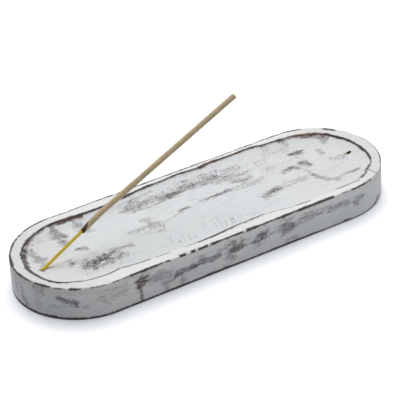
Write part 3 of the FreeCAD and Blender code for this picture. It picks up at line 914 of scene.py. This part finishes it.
    def build(self, finish: Material) -> Object:
        """Sweep the section into the tray's block, carve it by hand and drill its holes."""
        points = self.profile()
        section = bpy.data.curves.new("tray_section", "CURVE")
        section.dimensions = "3D"
        spline = section.splines.new("POLY")
        spline.points.add(len(points) - 1)
        for target, (inside, up) in zip(spline.points, points):
            target.co = (-inside * MM, -up * MM, 0.0, 1.0)
        holder = add_object("carved_tray", section)
        run_tree(holder, self.sweep_tree(), {"Length": self.length * MM, "Width": self.width * MM,
                                             "Around": self.around, "Finish": finish})
        mesh = plain_mesh(holder)
        bpy.data.objects.remove(holder)
        self.piece = add_object("carved_tray", mesh)
        self.close_and_turn_out()
        self.carve()
        self.drill()
        mesh = self.piece.data
        mesh.shade_smooth()
        mesh.set_sharp_from_angle(angle=math.radians(38))
        return self.piece

    def close_and_turn_out(self) -> None:
        """Merge the seams along the middle line and turn all faces outwards."""
        shell = bmesh.new()
        shell.from_mesh(self.piece.data)
        bmesh.ops.remove_doubles(shell, verts=shell.verts, dist=0.02 * MM)
        bmesh.ops.recalc_face_normals(shell, faces=shell.faces)
        shell.to_mesh(self.piece.data)
        shell.free()

    def carve(self) -> None:
        """Give the swept block its hand-made unevenness, keeping inside the true outline."""
        points, work = read_points(self.piece.data), self.work
        inside, out, beside = self.inward(points), self.outward(points), self.on_outline(points)

        # The knife wandered along the recess's edge; the waver fades out over the rim and the floor
        above = self.on_top(points)
        over_rim = ease((inside - work.waver_from) / (self.rim_width - work.waver_from))
        over_floor = ease((work.waver_to - inside) / (work.waver_to - self.rim_width))
        near_edge = np.where(inside < self.rim_width, over_rim, over_floor)
        shift = np.where(above, self.wander(points) * near_edge, 0.0)
        points[:, :2] += out * shift[:, None]

        # Broad unevenness: the floor and the rim dip a little, and the wall is pared in places
        level = np.where(above & (inside > 0.5), 1.0, 0.0)
        dip = work.dip.depth + work.dip.at(points)
        points[:, 2] -= level * dip * ease(inside / work.dip_run)
        wall = ease((work.pare_run - inside) / work.pare_run)
        pare = work.pare.depth + work.pare.at(points) + work.fine_pare.at(points)
        points[:, :2] -= out * (wall * np.maximum(pare, 0.0))[:, None]

        # Nicks along the two upper arrises
        nick = work.nick.bites(beside, work.nick_least)
        nick += work.fine_nick.bites(beside, work.fine_nick_least)
        away = np.hypot(inside, points[:, 2] - self.height)
        bite = nick * ease((work.outer_reach - away) / work.outer_reach)
        points[:, :2] -= out * (bite * work.outer_share)[:, None]
        points[:, 2] -= bite * work.outer_share
        away = np.hypot(inside - self.rim_width, points[:, 2] - self.height)
        bite = nick * ease((work.inner_reach - away) / work.inner_reach) * work.inner_depth
        points[:, :2] += out * (bite * work.inner_share)[:, None]
        points[:, 2] -= bite * work.inner_share
        write_points(self.piece.data, points)

    def hole_line(self, side: int) -> tuple[np.ndarray, np.ndarray]:
        """Give a hole's mouth and the direction out of it; side is -1 for the left and 1 for the right."""
        lean = math.radians(self.hole_lean)
        inset = self.hole_inset if side < 0 else self.spare_inset
        mouth = np.array([side * (self.length / 2 - inset), 0.0, self.floor_height])
        return mouth, np.array([-side * math.cos(lean), 0.0, math.sin(lean)])

    def stick_foot(self) -> np.ndarray:
        """Give the place of the stick's foot, on the left hole's bottom and just clear of its lip."""
        mouth, way = self.hole_line(-1)
        lean = math.radians(self.hole_lean)
        sunk = np.array([math.sin(lean), 0.0, -math.cos(lean)])
        return mouth - way * self.hole_depth + sunk * self.lip_gap

    def drill(self) -> None:
        """Cut the two slanted holes."""
        cutters = []
        for side in (-1, 1):
            mouth, way = self.hole_line(side)
            run_out = 3.0 * self.hole_radius
            drill = bmesh.new()
            middle = Vector((mouth + way * (run_out - self.hole_depth) / 2) * MM)
            turn = Vector(way).to_track_quat("Z", "Y").to_matrix().to_4x4()
            bmesh.ops.create_cone(drill, cap_ends=True, segments=40, radius1=self.hole_radius * MM,
                                  radius2=self.hole_radius * MM, depth=(self.hole_depth + run_out) * MM,
                                  matrix=Matrix.Translation(middle) @ turn)
            mesh = bpy.data.meshes.new("drill")
            drill.to_mesh(mesh)
            drill.free()
            cutter = add_object("drill", mesh)
            cut = self.piece.modifiers.new("hole", "BOOLEAN")
            cut.operation = "DIFFERENCE"
            cut.solver = "EXACT"
            cut.object = cutter
            cutters.append(cutter)
        settle(self.piece)
        for cutter in cutters:
            bpy.data.objects.remove(cutter)

    def find(self, view: PhotoView, pixel: Pixel, mark: Scuff) -> np.ndarray:
        """Find the place on the tray that a pixel of the photograph shows.

        Args:
            view: The photograph's camera.
            pixel: The pixel.
            mark: The mark it belongs to, which says on which surface it lies.

        Returns:
            The place; for a mark on an edge, the nearest place on that edge.
        """
        high, low = view.on_level(pixel, self.height), view.on_level(pixel, 0.0)
        if mark.surface is Surface.RIM:
            return high
        steps = high + (low - high) * np.linspace(0.0, 1.0, RAY_STEPS)[:, None]
        if mark.surface is Surface.SIDE:
            return steps[np.argmin(np.abs(self.inward(steps)))]
        if mark.surface is Surface.FLOOR:
            return steps[np.argmin(np.abs(steps[:, 2] - self.floor_at(self.inward(steps))))]
        place = (low if mark.surface is Surface.BASE_EDGE else high)[None, :]
        inside = np.array([mark.inset])
        if mark.surface is Surface.INNER_EDGE:
            inside += self.rim_width - self.wander(place)
        place[:, :2] = self.spine(place) + self.outward(place) * (self.end_radius - inside)
        place[:, 2] -= self.edge_drop if mark.surface is Surface.INNER_EDGE else 0.0
        return place[0]

    def wear_paths(self, view: PhotoView) -> list[tuple[Scuff, np.ndarray]]:
        """Give every mark with the path that it follows on the tray."""
        seen = [*FLOOR_WEAR_AND_HOLE_SHADE, *INNER_EDGE_WEAR, *OUTER_EDGE_WEAR, *SIDE_WEAR, *BASE_EDGE_WEAR_AND_SHADE]
        paths = [(mark, np.array([self.find(view, pixel, mark) for pixel in evenly(mark.path)]))
                 for mark in seen]
        return paths + self.unseen_wear()

    def mark_wear_and_shade(self, view: PhotoView) -> None:
        """Store at every vertex what the finish reads: wear and painted shade, tint, strokes, cooler paint,
        darkening at the ends, and holes.
        """
        points = read_points(self.piece.data)
        inside = self.inward(points)
        rest = inside + self.wander(points)
        scuff = self.edge_wear_and_base_shade(points, inside, rest)
        ticked, tint = np.zeros(len(points)), np.zeros(len(points))
        weight = np.full(len(points), 1e-3)
        drawn = points * np.array(self.wear.grain_stretch)
        ragged = self.wear.ragged.at(drawn) + self.wear.fine_ragged.at(drawn)
        for mark, path in self.wear_paths(view):
            low, high = path.min(axis=0) - 2.0 * mark.width, path.max(axis=0) + 2.0 * mark.width
            near = np.flatnonzero(np.all((points > low) & (points < high), axis=1))
            shade = mark.shade(distance_to_path(points[near], path), ragged[near])
            if mark.wear is Wear.TICKED:
                ticked[near] = np.maximum(ticked[near], shade)
                continue
            if mark.strength < 0.0:
                scuff[near] *= 1.0 + shade
                continue
            tint[near] += mark.tint * shade
            weight[near] += shade
            both = self.wear.overlap * np.minimum(scuff[near], shade)
            scuff[near] = np.maximum(scuff[near], shade) + both
        wash, dull = self.paint_tone(points, rest)
        values = {"scuff": scuff, "tint": tint / weight, "ticked": ticked, "wash": wash, "dull": dull,
                  "drilled": self.drilled(points)}
        for name, value in values.items():
            write_attribute(self.piece.data, name, value)

    def paint_tone(self, points: np.ndarray, rest: np.ndarray) -> tuple[np.ndarray, np.ndarray]:
        """Cool the paint in the recess, paint shade on to the outer wall with half of that, and darken the
        paint towards the tray's ends.

        Args:
            points: The vertices.
            rest: How far they lie inside the outer outline, before the knife strayed along the recess's edge.

        Returns:
            The cooler paint, with the outer wall's painted shade, and the darkening towards the ends, for
            each vertex.
        """
        above, wear = self.on_top(points), self.wear
        # The outer wall, below the floor's level, takes half the cooler, darker paint: painted shade on a
        # wall in shade
        wash = np.where(above, ease((rest - self.rim_width - 0.2) / 0.6), 0.5)
        on_rim = rest < self.rim_width + 0.5
        # The paint darkens towards the tray's ends, on the rim and on the floor
        from_left = -points[:, 0] - np.where(on_rim, wear.rim_dull_from, wear.left_dull_from)
        from_right = points[:, 0] - np.where(on_rim, wear.rim_dull_from, wear.right_dull_from)
        ends = ease(from_left / np.where(on_rim, wear.rim_dull_run, wear.left_dull_run))
        ends = ends + ease(from_right / np.where(on_rim, wear.rim_dull_run, wear.right_dull_run))
        return wash, np.where(above, ends * np.where(on_rim, wear.rim_dull, wear.floor_dull), 0.0)

    def edge_wear_and_base_shade(self, points: np.ndarray, inside: np.ndarray, rest: np.ndarray) -> np.ndarray:
        """Wear the paint lightly along every arris, and hard along the base's, where it is partly painted
        shade at the tray's foot.

        Args:
            points: The vertices.
            inside: How far they lie inside the outer outline.
            rest: The same, before the knife strayed along the recess's edge.

        Returns:
            The wear of each vertex, with the painted shade along the base.
        """
        beside = self.on_outline(points)
        patchy = 0.5 + self.wear.patchy.at(beside) + self.wear.fine_patchy.at(beside)
        down = self.height - points[:, 2]
        outer = ease(1.0 - np.hypot(inside - 0.2, down - 0.2) / 1.0) * 0.5
        inner = ease(1.0 - np.hypot(rest - self.rim_width, down - 0.6) / 1.3) * 0.45
        # Along the base the band is partly wear through to dark wood and partly painted shade of the gap at
        # the tray's foot
        reach = (1.7 + 0.5 * patchy) * (1.0 - 0.35 * ease((points[:, 0] - 40.0) / 60.0))
        base = ease(1.5 - np.hypot(inside, points[:, 2]) / reach) * 1.25
        under = np.where(points[:, 2] < 0.2, 0.35, 0.0)
        return np.maximum.reduce([outer * patchy, inner * patchy, base, under]) + 0.02

    def unseen_wear(self) -> list[tuple[Scuff, np.ndarray]]:
        """Scatter smudges over the far wall and the right end, which the photograph doesn't show."""
        draw = random.Random(self.seed)
        made = []
        for number in range(self.wear.far_smudges + self.wear.end_smudges):
            reach, height = draw.uniform(2.0, 16.0), draw.uniform(0.15, 0.85) * self.height
            if number < self.wear.far_smudges:
                start, run = (draw.uniform(-0.47, 0.4) * self.length, self.width), (reach, 0.0)
            else:
                start, run = (self.length, draw.uniform(-0.9, 2.0) * self.width), (0.0, 4.0 * reach)
            last = (start[0] + run[0], start[1] + run[1])
            ends = np.array([[*start, height], [*last, height - 0.2 * reach]])
            ends[:, :2] = self.on_outline(ends)[:, :2]
            width, strength = draw.uniform(4.0, 12.0), draw.uniform(0.26, 0.58)
            made.append((Scuff(SIDE, (), width, strength, tint=draw.uniform(-0.9, 0.6)), ends))
        return made

    def drilled(self, points: np.ndarray) -> np.ndarray:
        """Give 0.55 at the mouths of the holes, rising to 1 a little way down where the finish paints their
        shade, and 0 outside them.
        """
        result = np.zeros(len(points))
        for side in (-1, 1):
            mouth, way = self.hole_line(side)
            along = (points - mouth) @ way
            across = np.linalg.norm(points - mouth - along[:, None] * way, axis=1)
            within = (across < self.hole_radius + 0.05) & (along < 4.0) & (along > -self.hole_depth - 0.1)
            # The rise down the hole sets how much painted shade it gets
            result = np.where(within, 0.55 + 0.45 * np.clip((-0.8 - along) / 2.4, 0.0, 1.0), result)
        return result

    def dress(self) -> None:
        """Hide the part that the piece stands for, and hang the piece on what it rides on."""
        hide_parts("wooden_tray")
        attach(self.piece, "tray")


def distance_to_path(points: np.ndarray, path: Sequence[np.ndarray]) -> np.ndarray:
    """Measure how far points lie from a path of straight runs."""
    nearest = np.full(len(points), np.inf)
    for first, last in zip(path, path[1:]):
        run = last - first
        share = np.clip((points - first) @ run / max(run @ run, 1e-9), 0.0, 1.0)
        nearest = np.minimum(nearest, np.linalg.norm(points - first - share[:, None] * run, axis=1))
    return nearest


@dataclass
class Stick:
    """The incense stick: a bamboo splint and the paste rolled on to it. Sizes are in millimetres."""

    foot: np.ndarray
    lean: float
    core_radius: float = 1.2
    core_length: float = 193.5
    bend_start: float = 64.0
    bend_radius: float = 100.0
    bend_angle: float = 4.4
    bare_length: float = 48.5
    paste_radius: float = 2.15
    tip_cover: float = 1.0
    tip_radius: float = 0.7
    break_rise: float = 7.5
    break_turn: float = 8.0
    skin: float = 0.06
    splint_sides: int = 28
    splint_rings: int = 110
    splint_rough: Ripple = Ripple(0.03, 0.22, 21.0)
    ridge_depth: float = 0.03
    paste_sides: int = 44
    paste_rings: int = 260
    roll: tuple[Ripple, ...] = (Ripple(0.10, 0.12, 31.0), Ripple(0.07, 0.6, 32.0), Ripple(0.04, 1.6, 33.0))
    grains_per_m2: float = 900_000.0
    grain_sizes: tuple[float, float] = (0.05, 0.11)
    seed: int = 3

    def axis_at(self, along: np.ndarray) -> tuple[np.ndarray, np.ndarray]:
        """Follow the middle of the stick: straight, through one slight bend, and straight again.

        Args:
            along: Lengths from the foot.

        Returns:
            The places, and the upward directions square to the stick.
        """
        start, bend = math.radians(self.lean), math.radians(self.bend_angle)
        first = np.minimum(along, self.bend_start)
        angle = start - np.clip((along - self.bend_start) / self.bend_radius, 0.0, bend)
        last = np.maximum(along - self.bend_start - self.bend_radius * bend, 0.0)
        bent_x = self.bend_radius * (math.sin(start) - np.sin(angle))
        bent_z = self.bend_radius * (np.cos(angle) - math.cos(start))
        x = first * math.cos(start) + bent_x + last * np.cos(angle)
        z = first * math.sin(start) + bent_z + last * np.sin(angle)
        level = np.zeros_like(x)
        place = self.foot + np.stack([x, level, z], axis=-1)
        return place, np.stack([-np.sin(angle), level, np.cos(angle)], axis=-1)

    def tube(self, name: str, along: np.ndarray, radius: np.ndarray) -> Object:
        """Make a closed tube round the stick's middle.

        Args:
            name: The piece's name.
            along: Lengths from the foot, one row for each ring and one column for each side.
            radius: Distances from the middle, in the same layout.

        Returns:
            The piece, with a UV map that runs along it.
        """
        rings, sides = along.shape
        turn = np.linspace(0.0, 2 * math.pi, sides, endpoint=False)
        place, upward = self.axis_at(along)
        across = np.array([0.0, 1.0, 0.0])
        points = place + radius[..., None] * (np.cos(turn)[None, :, None] * upward
                                               + np.sin(turn)[None, :, None] * across)
        shell = bmesh.new()
        grid = [[shell.verts.new(Vector(p * MM)) for p in ring] for ring in points]
        layer = shell.loops.layers.uv.new("along")
        for i in range(rings - 1):
            for j in range(sides):
                k = (j + 1) % sides
                skin = shell.faces.new((grid[i][j], grid[i][k], grid[i + 1][k], grid[i + 1][j]))
                corners = ((i, j), (i, j + 1), (i + 1, j + 1), (i + 1, j))
                for loop, (row, column) in zip(skin.loops, corners):
                    loop[layer].uv = (along[row, column % sides] / self.core_length, column / sides)
        for ring, order in ((grid[0], -1), (grid[-1], 1)):
            shell.faces.new(ring[::order])
        bmesh.ops.recalc_face_normals(shell, faces=shell.faces)
        mesh = bpy.data.meshes.new(name)
        shell.to_mesh(mesh)
        shell.free()
        mesh.shade_smooth()
        mesh.set_sharp_from_angle(angle=math.radians(50))
        return add_object(name, mesh)

    def build_splint(self, finish: Material) -> Object:
        """Split the bamboo: a rounded square section with fibre ridges along it."""
        sides = self.splint_sides
        turn = np.linspace(0.0, 2 * math.pi, sides, endpoint=False)
        draw = random.Random(self.seed)
        ridges = np.array([draw.uniform(0.0, self.ridge_depth) for _ in range(sides)])
        # The rings end just past the bend; from there the paste hides the splint up to its end
        lengths = np.linspace(0.0, self.bend_start + 9.0, self.splint_rings)
        lengths = np.concatenate([lengths, [self.core_length - 0.2]])
        along = np.repeat(lengths[:, None], sides, axis=1)
        section = self.core_radius * (0.97 + 0.03 * np.cos(4 * turn)) - ridges
        samples = np.stack([along.ravel(), np.tile(turn, len(lengths)), np.zeros(along.size)], axis=1)
        rough = self.splint_rough.at(samples).reshape(along.shape)
        piece = self.tube("bamboo_splint", along, np.minimum(section[None, :] + rough, self.core_radius))
        piece.data.materials.append(finish)
        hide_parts("bamboo_core")
        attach(piece, "stick")
        return piece

    def build_paste(self, finish: Material) -> Object:
        """Roll the paste: an uneven roll with a rounded tip, a hollow slanting break and stuck grains."""
        sides = self.paste_sides
        turn = np.linspace(0.0, 2 * math.pi, sides, endpoint=False)
        tip = self.core_length + self.tip_cover - self.skin
        slant = 0.5 + 0.5 * np.cos(turn - math.radians(self.break_turn))
        ring = [Vector((math.cos(a) * 1.7, math.sin(a) * 1.7, 4.2)) for a in turn]
        ragged = np.array([noise.noise(place) for place in ring])
        low = self.bare_length + self.break_rise * slant + 0.5 * np.abs(ragged)

        share = np.linspace(0.0, 1.0, self.paste_rings)
        body = low[None, :] + share[:, None] * (tip - self.tip_radius - low[None, :])
        around = np.stack([np.cos(turn), np.sin(turn)], axis=1)
        samples = np.concatenate([np.tile(around * 1.8, (len(share), 1)), body.reshape(-1, 1)], axis=1)
        rolled = sum(ripple.at(samples) for ripple in self.roll)
        limit = self.paste_radius - self.skin
        radius = np.minimum(limit - 0.02 + 0.8 * rolled.reshape(body.shape), limit)
        radius[0] -= 0.25

        # Below the snapped-off face a thin skin stays on the splint; the tip closes over in a quarter round
        inner = np.full((1, sides), self.core_radius + 0.02)
        halfway = (inner + radius[:1]) / 2
        bare = self.bare_length + 0.12 * (low[None, :] - self.bare_length)
        bends = np.radians(np.linspace(15.0, 90.0, 6))[:, None]
        cap_along = tip - self.tip_radius + self.tip_radius * np.sin(bends) + np.zeros((1, sides))
        cap_radius = radius[-1:] - self.tip_radius * (1.0 - np.cos(bends))
        closing = np.array([[0.7], [0.35], [0.02]])
        end_along = np.full((3, sides), tip) - 0.12 * (1.0 - closing) * (1.0 + 0.6 * ragged[None, :])
        along = np.concatenate([bare, bare + 0.1, low[None, :] - 0.1, low[None, :] + 0.3, body, cap_along,
                                end_along])
        radius = np.concatenate([inner, inner + 0.2, inner + 0.3, halfway, radius, cap_radius,
                                 cap_radius[-1:] * closing])
        piece = self.tube("rolled_paste", along, radius)

        # The bare skin and the snapped-off face get painted shade; the first ring of the roll gets half of it
        broken = np.zeros(along.shape)
        broken[:4] = 1.0
        broken[4] = 0.5
        write_attribute(piece.data, "broken", broken.ravel())
        self.stick_on_grains(piece, finish)
        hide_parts("incense_paste")
        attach(piece, "stick")
        return piece

    def grain_tree(self) -> NodeTree:
        """Make the node tree that scatters small grains over the paste."""
        sheet, entry = geometry_tree("stuck_grains", {
            "Roll": "Geometry", "Density": "Float", "Smallest": "Float", "Largest": "Float", "Seed": "Int",
            "Finish": "Material"})
        tree = sheet.tree
        spots = sheet.add("GeometryNodeDistributePointsOnFaces", Mesh=entry["Roll"],
                          Density=entry["Density"], Seed=entry["Seed"])
        grain = sheet.add("GeometryNodeMeshIcoSphere", Radius=1.0, Subdivisions=1)
        size = sheet.add("FunctionNodeRandomValue", {"data_type": "FLOAT"}, Min=entry["Smallest"],
                         Max=entry["Largest"], Seed=entry["Seed"])
        shown = next(s for s in size.outputs if s.enabled)
        flat = sheet.add("ShaderNodeCombineXYZ", X=shown, Y=shown, Z=sheet.math("MULTIPLY", shown, 0.55))
        placed = sheet.add("GeometryNodeInstanceOnPoints", Points=spots.outputs["Points"],
                           Instance=grain.outputs[0], Rotation=spots.outputs["Rotation"],
                           Scale=flat.outputs[0])
        real = sheet.add("GeometryNodeRealizeInstances", Geometry=placed.outputs[0])
        both = tree.nodes.new("GeometryNodeJoinGeometry")
        tree.links.new(real.outputs[0], both.inputs[0])
        tree.links.new(entry["Roll"], both.inputs[0])
        dressed = sheet.add("GeometryNodeSetMaterial", Geometry=both.outputs[0],
                            Material=entry["Finish"])
        tree.links.new(dressed.outputs[0], tree.nodes.new("NodeGroupOutput").inputs[0])
        return tree

    def stick_on_grains(self, piece: Object, finish: Material) -> None:
        """Scatter grains over the paste and make them part of its mesh."""
        smallest, largest = self.grain_sizes
        run_tree(piece, self.grain_tree(), {
            "Density": self.grains_per_m2, "Smallest": smallest * MM, "Largest": largest * MM,
            "Seed": self.seed, "Finish": finish})
        settle(piece)


@dataclass(frozen=True)
class Studio:
    """A white floor and soft light from above and behind."""

    floor_half: float = 6.0
    floor_glow: tuple = (0.245, 0.265, 0.29, 1.0)
    floor_shade: tuple = (0.98, 0.975, 0.97, 1.0)
    floor_bounce: tuple = (0.42, 0.44, 0.47, 1.0)
    sky: float = 0.34
    box_size: float = 1.3
    box_place: Triple = (0.26, 0.62, 1.5)
    box_watts: float = 20.9
    fill_size: float = 0.25
    fill_place: Triple = (0.15, -0.43, 0.16)
    fill_watts: float = 0.25
    shadow_end: tuple[float, float] = (0.35, 0.8)

    def make_floor(self) -> Object:
        """Lay the floor: white to the camera, and darkened only by the object's own shadow."""
        material = bpy.data.materials.new("white_floor")
        material.use_nodes = True
        tree = material.node_tree
        tree.nodes.clear()
        sheet = NodeSheet(tree)
        seen = self.seen_by_camera(sheet)
        shade = sheet.mix(seen, self.floor_bounce, self.floor_shade)
        matte = sheet.add("ShaderNodeBsdfDiffuse", Color=shade)
        glow = sheet.add("ShaderNodeEmission", Color=self.floor_glow, Strength=seen)
        both = sheet.add("ShaderNodeAddShader", i0=matte.outputs[0], i1=glow.outputs[0])
        place = sheet.add("ShaderNodeTexCoord").outputs["Object"]
        reach = sheet.add("ShaderNodeVectorMath", {"operation": "LENGTH"}, i0=place).outputs["Value"]
        plain = sheet.add("ShaderNodeEmission", Color=WHITE, Strength=1.0)
        far = sheet.math("MULTIPLY", sheet.step(reach, *self.shadow_end), seen)
        mixed = sheet.add("ShaderNodeMixShader", i0=far, i1=both.outputs[0], i2=plain.outputs[0])
        output = tree.nodes.new("ShaderNodeOutputMaterial")
        tree.links.new(mixed.outputs[0], output.inputs["Surface"])

        half = self.floor_half
        mesh = bpy.data.meshes.new("floor")
        mesh.from_pydata([(-half, -half, 0), (half, -half, 0), (half, half, 0), (-half, half, 0)], [],
                         [(0, 1, 2, 3)])
        mesh.materials.append(material)
        floor = add_object("floor", mesh)
        return floor

    @staticmethod
    def seen_by_camera(sheet: NodeSheet) -> NodeSocket:
        """Give 1 for the camera's rays, also mirrored or through clear things, and 0 for the rest."""
        path = sheet.add("ShaderNodeLightPath").outputs
        clear = sheet.math("MAXIMUM", path["Is Glossy Ray"], path["Is Transmission Ray"])
        return sheet.math("MAXIMUM", path["Is Camera Ray"], clear)

    @staticmethod
    def hang_box(name: str, size: float, place: Triple, watts: float) -> None:
        """Hang a square soft light that faces the object.

        Args:
            name: The light's name.
            size: The length of its sides, in metres.
            place: Where its middle hangs, in metres.
            watts: Its power.
        """
        data = bpy.data.lights.new(name, "AREA")
        data.shape = "SQUARE"
        data.size = size
        data.energy = watts
        lamp = add_object(name, data)
        lamp.location = place
        lamp.rotation_euler = (-Vector(place)).to_track_quat("-Z", "Y").to_euler()

    def make_light(self) -> None:
        """Hang the soft boxes and light the sky evenly."""
        self.hang_box("soft_box", self.box_size, self.box_place, self.box_watts)
        self.hang_box("fill_box", self.fill_size, self.fill_place, self.fill_watts)

        world = bpy.data.worlds.new("even_sky")
        bpy.context.scene.world = world
        world.use_nodes = True
        tree = world.node_tree
        tree.nodes.clear()
        sheet = NodeSheet(tree)
        seen = self.seen_by_camera(sheet)
        strength = sheet.math("MULTIPLY_ADD", seen, 1.0 - self.sky, self.sky)
        sky = sheet.add("ShaderNodeBackground", Color=WHITE, Strength=strength)
        output = tree.nodes.new("ShaderNodeOutputWorld")
        tree.links.new(sky.outputs[0], output.inputs["Surface"])


def main() -> None:
    """Build and dress every piece, in order, and report it."""
    logging.basicConfig(level=logging.INFO, format="%(name)s: %(message)s")
    bpy.context.scene.view_settings.view_transform = "Standard"
    view = PhotoView()
    view.make_camera()
    studio = Studio()
    studio.make_floor()
    studio.make_light()

    low, high = (np.array(corner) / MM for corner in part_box("wooden_tray"))
    tray = Tray(*(high - low))
    tray.trace_edge(view)
    tray.build(WornWhitewash().make())
    tray.mark_wear_and_shade(view)
    tray.dress()
    LOG.info("%s: %d faces", tray.piece.name, len(tray.piece.data.polygons))

    stick = Stick(tray.stick_foot(), tray.hole_lean)
    for piece in (stick.build_splint(DyedBamboo().make()), stick.build_paste(RolledPaste().make())):
        LOG.info("%s: %d faces", piece.name, len(piece.data.polygons))


if __name__ == "__main__":
    main()
